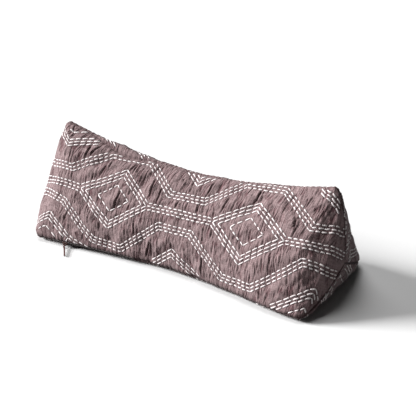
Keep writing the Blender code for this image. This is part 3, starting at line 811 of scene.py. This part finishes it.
def dress(panel):
    """Give a panel its folds, seams and stitched relief, and its painted shade in seams and beside stitches.
    """
    seam, away = panel.seam, panel.away
    inward = np.clip((HALF_LENGTH + POINT_LENGTH - np.abs(panel.along)) / POINT_LENGTH, 0, 1)
    held = 1 - STITCH_HOLD * np.exp(-(away / STITCH_HOLD_REACH) ** 2)
    height = panel.puffs + panel.folds + panel.moved
    height *= held * np.clip(seam / SEAM_CALM, CALM_LEAST, 1)
    height += QUILT_HEIGHT * (1 - np.exp(-(away / QUILT_REACH) ** 2))
    height -= STITCH_GROOVE * np.exp(-(away / STITCH_GROOVE_REACH) ** 2)
    height += fullness(panel) * np.clip(seam / FULLNESS_MARGIN, 0, 1)
    phases = np.random.default_rng(SEED + 30 + panel.number).uniform(0, TURN, 2)
    drift = PUCKER_DRIFT * np.sin(panel.u * PUCKER_DRIFT_TURNS + phases[0])
    pucker = PUCKER_HEIGHT * np.sin(panel.u * TURN / PUCKER_PITCH + drift + phases[1])
    height += pucker * np.exp(-seam / PUCKER_REACH) * np.clip(seam / PUCKER_MARGIN, 0, 1)
    height -= SEAM_GROOVE * np.exp(-seam / SEAM_GROOVE_REACH)
    height -= press(panel.along, panel.number + panel.across)
    height *= np.clip(inward * TIP_CALM, 0, 1)
    panel.points = panel.base + panel.normals * height[..., None]
    # Painted shade: the cloth's colour darkens in the seams and in a thin band beside the stitches
    this, other = panel.number, (panel.number + 1) % 3
    side = np.where(panel.across < 0.5, SEAM_SHADES[this], SEAM_SHADES[other])
    end = np.clip(1 + (np.abs(panel.along) / HALF_LENGTH - 1) * END_SHADE_RISE, 0, 1)
    reach = np.where(panel.across < 0.5, SEAM_SHADE_REACHES[this], SEAM_SHADE_REACHES[other])
    seam_painted_shade = (side + (1 - side) * end) * np.exp(-(seam / reach) ** 2)
    stitch_painted_shade = STITCH_SHADE * np.exp(-(away / STITCH_SHADE_REACH) ** 2)
    panel.shade = np.maximum(np.maximum(panel.shade * held, seam_painted_shade), stitch_painted_shade)


def join_seams(panels):
    """Give the two panels at each seam the same points along it, and one point at each end's centre."""
    for panel in panels:
        other = panels[(panel.number + 1) % 3]
        shared = (panel.points[:, -1] + other.points[:, 0]) / 2
        panel.points[:, -1] = shared
        other.points[:, 0] = shared
    for panel in panels:
        for row, side in ((0, -1), (-1, 1)):
            middle = (side * (HALF_LENGTH + END_BULGE - SEAM_GROOVE), 0, END_CENTRE_HEIGHT)
            panel.points[row] = np.array(middle) + CENTRE_SHIFT
        panel.points[..., 2] = np.maximum(panel.points[..., 2], BASE_CLOTH_HEIGHT)


def make_piece(name, points, faces, material, uvs):
    """A piece that rides with the pillow, with each face corner's place on the cloth."""
    mesh = new_mesh(name, points, faces)
    layer = mesh.uv_layers.new(name="cloth")
    layer.data.foreach_set("uv", np.asarray(uvs, np.float32).ravel())
    mesh.materials.append(material)
    mesh.shade_smooth()
    piece = new_object(name, mesh)
    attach(piece, "root")
    return piece


def make_cover(panels, material):
    """One closed mesh of the three panels, sewn together along their seams."""
    points, faces, places, _ = sewn([panel.points for panel in panels])
    uvs = [(panels[number].u[row, column], panels[number].v[row, column]) for number, row, column in places]
    piece = make_piece("cover", points, faces, material, uvs)
    # the painted shade of the folds, seams and stitches, kept at each point for the material
    shade = sewn([panel.shade[..., None] for panel in panels])[0]
    layer = piece.data.attributes.new("shade", "FLOAT", "POINT")
    layer.data.foreach_set("value", np.asarray(shade[:, 0], np.float32))
    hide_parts("cushion")


def add_tube(faces, uvs, first, rings, sides, place):
    """Add the faces of a closed tube of rings of points. place gives a ring and side's place on the cloth."""
    for i in range(rings - 1):
        a, b = first + i * sides, first + (i + 1) * sides
        for j in range(sides):
            n = (j + 1) % sides
            faces.append((a + j, a + n, b + n, b + j))
            uvs += [place(i, j), place(i, j + 1), place(i + 1, j + 1), place(i + 1, j)]
    for ring, order in ((first, -1), (first + (rings - 1) * sides, 1)):
        faces.append([ring + j for j in range(sides)][::order])
        uvs += [(0.0, 0.0)] * sides


def make_stitches(panel, material):
    """All the stitches of a panel: short lengths of thick thread that dip into the cloth at both ends."""
    ends = stitch_ends(panel.number)
    share = np.linspace(0, 1, STITCH_RINGS)
    places = ends[:, :1] * (1 - share[None, :, None]) + ends[:, 1:] * share[None, :, None]
    row, column, found = panel.find(places[..., 0], places[..., 1])
    clear = at(panel.seam, row, column) > SEAM_MARGIN
    body = (row > TIP_ROWS) & (row < panel.along.shape[0] - 1 - TIP_ROWS)
    good = (found & clear & body).all(axis=1)
    row, column = row[good], column[good]
    centres = at(panel.points, row, column)
    normals = at(normals_of(panel.points), row, column).mean(axis=1, keepdims=True)
    normals = unit(normals + np.zeros_like(centres))
    side = unit(np.cross(normals, unit(centres[:, -1:] - centres[:, :1])))
    arch = np.sin(np.pi * share) ** STITCH_ARCH
    rng = np.random.default_rng(SEED + 40 + panel.number)
    size = rng.uniform(*STITCH_SIZES, (len(centres), 1))
    lift = (STITCH_LIFT + STITCH_SINK) * arch - STITCH_SINK
    width = STITCH_WIDTH / 2 * (STITCH_TIP_WIDTH + (1 - STITCH_TIP_WIDTH) * arch) * size
    thick = STITCH_HEIGHT / 2 * (STITCH_TIP_HEIGHT + (1 - STITCH_TIP_HEIGHT) * arch) * size
    centres = centres + normals * (lift * size)[..., None]
    angles = np.arange(STITCH_SIDES) * TURN / STITCH_SIDES
    points = (centres[:, :, None] + side[:, :, None] * (width[..., None] * np.cos(angles))[..., None]
              + normals[:, :, None] * (thick[..., None] * np.sin(angles))[..., None])
    points[..., 2] = np.maximum(points[..., 2], 0.0)
    along, around = LINE[0] * share, STITCH_WIDTH * 2 / STITCH_SIDES
    faces, uvs = [], []
    for k in range(len(points)):
        add_tube(faces, uvs, k * STITCH_RINGS * STITCH_SIDES, STITCH_RINGS, STITCH_SIDES,
                 lambda i, j: (along[i] + THREAD_OFFSET * k, around * j))
    piece = make_piece("stitches_" + PANEL_NAMES[panel.number], points.reshape(-1, 3), faces, material, uvs)


def seam_frames(along):
    """Places on the lower front seam, and the directions out of the pillow, across the seam and along it."""
    edge = np.zeros_like(along)
    inside = edge + FRAME_ACROSS
    ahead = unit(cover(FRONT, edge, along + FRAME_ALONG) - cover(FRONT, edge, along - FRAME_ALONG))
    aside = cover(FRONT, inside, along) - cover(FRONT, -inside, along)
    out = unit(np.cross(ahead, aside))
    point = cover(FRONT, edge, along) - out * press(along, FRONT + edge)[:, None]
    return point, out, np.cross(out, ahead), ahead


def make_zip(material):
    """The closed zip in the lower front seam: two woven tapes, and the coils that lock between them."""
    faces, uvs = [], []
    along = np.linspace(ZIP_START, ZIP_END, TAPE_STEPS)
    point, out, side, _ = seam_frames(along)
    shares, heights = np.array(TAPE_PROFILE).T[..., None]
    points = (point[:, None] + side[:, None] * (shares * TAPE_HALF_WIDTH)
              + out[:, None] * (TAPE_TOP + heights)).reshape(-1, 3)
    count = len(TAPE_PROFILE)
    add_tube(faces, uvs, 0, TAPE_STEPS, count, lambda i, j: (along[i], TAPE_PROFILE_STEP * (count - j)))
    points = list(points)
    teeth = np.arange(ZIP_START + TOOTH_PITCH, ZIP_END - TOOTH_PITCH, TOOTH_PITCH)
    point, out, side, ahead = seam_frames(teeth)
    angles = np.arange(TOOTH_SIDES) * TURN / TOOTH_SIDES
    for k in range(len(teeth)):
        lean = TOOTH_LEAN if k % 2 else -TOOTH_LEAN
        add_tube(faces, uvs, len(points), TOOTH_RINGS, TOOTH_SIDES,
                 lambda i, j: (TOOTH_STEP * j, TOOTH_STEP * i))
        for share in np.linspace(-1, 1, TOOTH_RINGS):
            radius = (1 - TOOTH_TAPER * share ** 4) * TOOTH_SIZE / 2
            centre = point[k] + side[k] * (share * TOOTH_WIDTH / 2) + ahead[k] * (share * lean)
            centre = centre + out[k] * (ZIP_PROUD - TOOTH_SIZE / 2)
            points += [centre + (ahead[k] * np.cos(angle) + out[k] * np.sin(angle)) * radius
                       for angle in angles]
    piece = make_piece("zip_coils", points, faces, material, uvs)
    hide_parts("zip_chain")


class Nodes:
    """Short names for building a material's node tree."""

    def __init__(self, name, colour, roughness, inputs=None):
        self.material = bpy.data.materials.new(name)
        self.material.use_nodes = True
        self.tree = self.material.node_tree
        self.shader = self.tree.nodes["Principled BSDF"]
        values = {"Base Color": (*colour, 1.0), "Roughness": roughness, **(inputs or {})}
        for key, value in values.items():
            self.shader.inputs[key].default_value = value

    def add(self, kind, values=None, **settings):
        """A node, with its settings, and with values or links for its inputs."""
        node = self.tree.nodes.new("ShaderNode" + kind)
        for key, value in settings.items():
            setattr(node, key, value)
        for key, value in (values or {}).items():
            if isinstance(value, bpy.types.NodeSocket):
                self.tree.links.new(value, node.inputs[key])
            else:
                node.inputs[key].default_value = value
        return node

    def link(self, socket, name):
        """Link a socket to an input of the shader."""
        self.tree.links.new(socket, self.shader.inputs[name])

    def cloth(self):
        """Coordinates on the cloth, in metres."""
        return self.add("UVMap", uv_map="cloth").outputs["UV"]

    def scaled(self, vector, size):
        """Coordinates divided by the size of a feature, in metres along each."""
        scale = tuple(1 / s for s in (*size, 1.0)[:3])
        return self.add("Mapping", {"Vector": vector, "Scale": scale}).outputs["Vector"]

    def noise(self, vector, size, detail):
        """Noise with features of a size, in metres."""
        values = {"Vector": self.scaled(vector, size), "Scale": 1.0, "Detail": detail}
        return self.add("TexNoise", values).outputs["Fac"]

    def slanted(self, vector):
        """Cloth coordinates whose lines of equal u lean as the crinkles do."""
        parts = self.add("SeparateXYZ", {"Vector": vector}).outputs
        slope = self.maths("MULTIPLY_ADD", parts["Y"], LEAN[2], LEAN[1])
        slope = self.maths("MULTIPLY_ADD", parts["Y"], slope, LEAN[0])
        along = self.maths("SUBTRACT", parts["X"], self.maths("MULTIPLY", slope, parts["Y"]))
        return self.add("CombineXYZ", {"X": along, "Y": parts["Y"]}).outputs["Vector"]

    def creases(self, vector, size):
        """Thin lines that come and go: 0 on a line and 1 away from it."""
        off = self.maths("ABSOLUTE", self.maths("SUBTRACT", self.noise(vector, size, 1.0), 0.5))
        away = self.maths("MULTIPLY", off, 1 / CREASE_LINE)
        breaks = self.maths("MULTIPLY_ADD", self.noise(vector, CREASE_BREAKS, 1.0), *CREASE_BREAK)
        away = self.maths("ADD", away, self.maths("MAXIMUM", breaks, 0.0))
        return self.maths("SMOOTH_MIN", away, 1.0, CREASE_ROUND)

    def wave(self, vector, direction, pitch):
        """Even bands of a pitch along one direction, from 0 to 1."""
        values = {"Vector": self.scaled(vector, (pitch,) * 3), "Scale": BAND_SCALE, "Distortion": 0.0}
        return self.add("TexWave", values, wave_type="BANDS", bands_direction=direction).outputs["Fac"]

    def maths(self, operation, a, b=0.0, c=0.0):
        """The result of a calculation on two or three values."""
        return self.add("Math", {0: a, 1: b, 2: c}, operation=operation).outputs[0]

    def ramp(self, value, stops):
        """A colour between two stops, each a place and a colour."""
        node = self.add("ValToRGB", {"Fac": value})
        for element, (place, colour) in zip(node.color_ramp.elements, stops):
            element.position = place
            element.color = (*colour, 1.0)
        return node.outputs["Color"]

    def mix(self, a, b, kind="MULTIPLY", share=1.0):
        """Two colours, multiplied or mixed."""
        return self.add("Mix", {0: share, 6: a, 7: b}, data_type="RGBA", blend_type=kind).outputs[2]

    def relief(self, heights, depths):
        """Give the shader the relief of some height maps, each on top of the one before."""
        below = {}
        for height, depth in zip(heights, depths):
            values = {"Height": height, "Distance": depth, "Strength": 1.0, **below}
            below = {"Normal": self.add("Bump", values).outputs["Normal"]}
        self.link(below["Normal"], "Normal")


def cloth_material():
    """Crinkled slub cotton: light and dark yarns, uneven threads and fine creases, with painted shade."""
    m = Nodes("cover_cloth", (0.30, 0.22, 0.22), 0.92, CLOTH_INPUTS)
    uv = m.cloth()
    slanted = m.slanted(uv)
    weave = m.maths("MULTIPLY", m.wave(uv, "X", WARP_PITCH), m.wave(uv, "Y", WEFT_PITCH))
    slub, cross_slub, mottle = (m.noise(uv, size, 3.0) for size in (SLUB_SIZE, CROSS_SLUB_SIZE, MOTTLE_SIZE))
    fine = m.noise(slanted, FINE_SIZE, 3.0)
    creases = [m.creases(slanted, size) for size in CREASE_SIZES]
    colour = m.mix(m.ramp(slub, YARN_TONES), m.ramp(cross_slub, CROSS_YARN_TONES), "MIX", 0.5)
    colour = m.mix(colour, m.ramp(mottle, MOTTLE_TONES))
    colour = m.mix(colour, m.ramp(weave, WEAVE_TONES))
    # painted shade: the colour darkens along the crease lines
    for lines, tones in zip(creases, PAINTED_CREASE_SHADE_TONES):
        colour = m.mix(colour, m.ramp(lines, tones))
    # painted shade of the folds, seams and stitches darkens the colour
    shade = m.add("Attribute", attribute_name="shade").outputs["Fac"]
    m.link(m.mix(colour, m.ramp(shade, PAINTED_SHADE_TONES)), "Base Color")
    m.relief((*creases, fine, slub, cross_slub, weave), CLOTH_DEPTHS)
    return m.material


def thread_material():
    """Soft cotton thread of several strands, with a slow twist."""
    m = Nodes("stitch_thread", (0.90, 0.83, 0.83), 0.75, THREAD_INPUTS)
    uv = m.cloth()
    turned = m.add("VectorRotate", {"Vector": uv, "Angle": THREAD_TWIST}, rotation_type="Z_AXIS")
    strands = m.wave(turned.outputs["Vector"], "Y", STRAND_PITCH)
    fuzz = m.noise(uv, FUZZ_SIZE, 3.0)
    m.link(m.mix(m.ramp(fuzz, THREAD_TONES), m.ramp(strands, STRAND_TONES)), "Base Color")
    m.relief((strands, fuzz), THREAD_DEPTHS)
    return m.material


def zip_material():
    """Dark nylon of the coils and tapes."""
    m = Nodes("zip_nylon", (0.030, 0.018, 0.018), 0.5)
    uv = m.cloth()
    m.link(m.ramp(m.noise(uv, ZIP_WEAR_SIZE, 3.0), ZIP_TONES), "Base Color")
    m.relief((m.wave(uv, "X", ZIP_PITCH),), (ZIP_DEPTH,))
    return m.material


def dress_zip_head():
    """Worn plated metal on the slider and the pull, which keep their CAD shapes."""
    for node, (name, dark, light, roughness) in METALS.items():
        m = Nodes(name, light, roughness, {"Metallic": 0.7})
        place = m.add("TexCoord").outputs["Object"]
        wear = m.noise(place, METAL_WEAR_SIZE, 4.0)
        m.link(m.ramp(wear, ((0.30, dark), (0.70, light))), "Base Color")
        m.link(m.ramp(wear, ((0.25, (roughness + 0.15,) * 3), (0.75, (roughness - 0.10,) * 3))), "Roughness")
        m.relief((m.noise(place, METAL_SCRATCH_SIZE, 2.0),), (METAL_DEPTH,))
        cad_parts[node].material_slots[0].material = m.material


def make_floor():
    """Plain pale floor, which throws less light up at the pillow than it shows."""
    m = Nodes("floor", (0.70, 0.70, 0.70), 0.9, {"Specular IOR Level": 0.0})
    seen = m.add("LightPath").outputs["Is Camera Ray"]
    m.link(m.ramp(seen, FLOOR_TONES), "Base Color")
    corners = np.array([(-1, -1, 0), (1, -1, 0), (1, 1, 0), (-1, 1, 0)]) * FLOOR_HALF
    floor = new_object("floor", new_mesh("floor", corners, [(0, 1, 2, 3)]))
    floor.data.materials.append(m.material)
    floor.location = (0, 0, FLOOR_HEIGHT)


def add_light(name, kind, place, aim, energy, **settings):
    """A light that faces a point."""
    light = bpy.data.lights.new(name, kind)
    light.energy = energy
    for key, value in settings.items():
        setattr(light, key, value)
    holder = new_object(name, light)
    holder.location = place
    holder.rotation_euler = (Vector(place) - Vector(aim)).to_track_quat("Z", "Y").to_euler()


def make_studio():
    """Soft key light from the upper left and front, a weak one from above, and a pale surround."""
    add_light("key", "SUN", (-3.5, -1.35, 1.49), (0, 0, 0), 8.5, angle=math.radians(22.0))
    add_light("top", "AREA", (-0.6, 0.3, 2.5), (0.0, 0.0, 0.05), 40.0, size=1.6)
    world = bpy.data.worlds.new("studio")
    bpy.context.scene.world = world
    world.use_nodes = True
    nodes, links = world.node_tree.nodes, world.node_tree.links
    fill = nodes["Background"]
    backdrop = nodes.new("ShaderNodeBackground")
    for background, strength in ((fill, FILL_LIGHT), (backdrop, BACKDROP_LIGHT)):
        background.inputs["Color"].default_value = (1.0, 1.0, 1.0, 1.0)
        background.inputs["Strength"].default_value = strength
    seen = nodes.new("ShaderNodeLightPath").outputs["Is Camera Ray"]
    mixed = nodes.new("ShaderNodeMixShader")
    for socket, target in zip((seen, fill.outputs[0], backdrop.outputs[0]), mixed.inputs):
        links.new(socket, target)
    links.new(mixed.outputs[0], nodes["World Output"].inputs["Surface"])
    bpy.context.scene.view_settings.view_transform = "Standard"


def make_camera():
    """The camera of the photograph."""
    data = bpy.data.cameras.new("camera")
    camera = new_object("camera", data)
    bpy.context.scene.camera = camera
    level = math.cos(CAMERA_ELEVATION)
    back = Vector((math.sin(CAMERA_AZIMUTH) * level, -math.cos(CAMERA_AZIMUTH) * level,
                   math.sin(CAMERA_ELEVATION)))
    camera.location = CAMERA_TARGET + back * CAMERA_DISTANCE
    camera.rotation_euler = back.to_track_quat("Z", "Y").to_euler()
    data.sensor_width = SENSOR_WIDTH
    data.lens = FOCAL_PIXELS / PICTURE_PIXELS * data.sensor_width
    data.shift_x = (PICTURE_PIXELS / 2 - TARGET_PIXEL[0]) / PICTURE_PIXELS
    data.shift_y = (TARGET_PIXEL[1] - PICTURE_PIXELS / 2) / PICTURE_PIXELS


def main():
    make_camera()
    make_studio()
    make_floor()
    panels = [Panel(number) for number in (FRONT, BACK, BASE)]
    for panel in panels:
        panel.away = distance_to_lines(panel.u, panel.v, panel.number)
        panel.puffs = puff_height(panel)
        panel.folds, panel.shade = fold_height(panel)
    moves = simulate(panels)
    for panel, moved in zip(panels, moves):
        panel.moved = moved
        dress(panel)
    join_seams(panels)
    make_cover(panels, cloth_material())
    thread = thread_material()
    for panel in panels:
        make_stitches(panel, thread)
    make_zip(zip_material())
    dress_zip_head()


main()
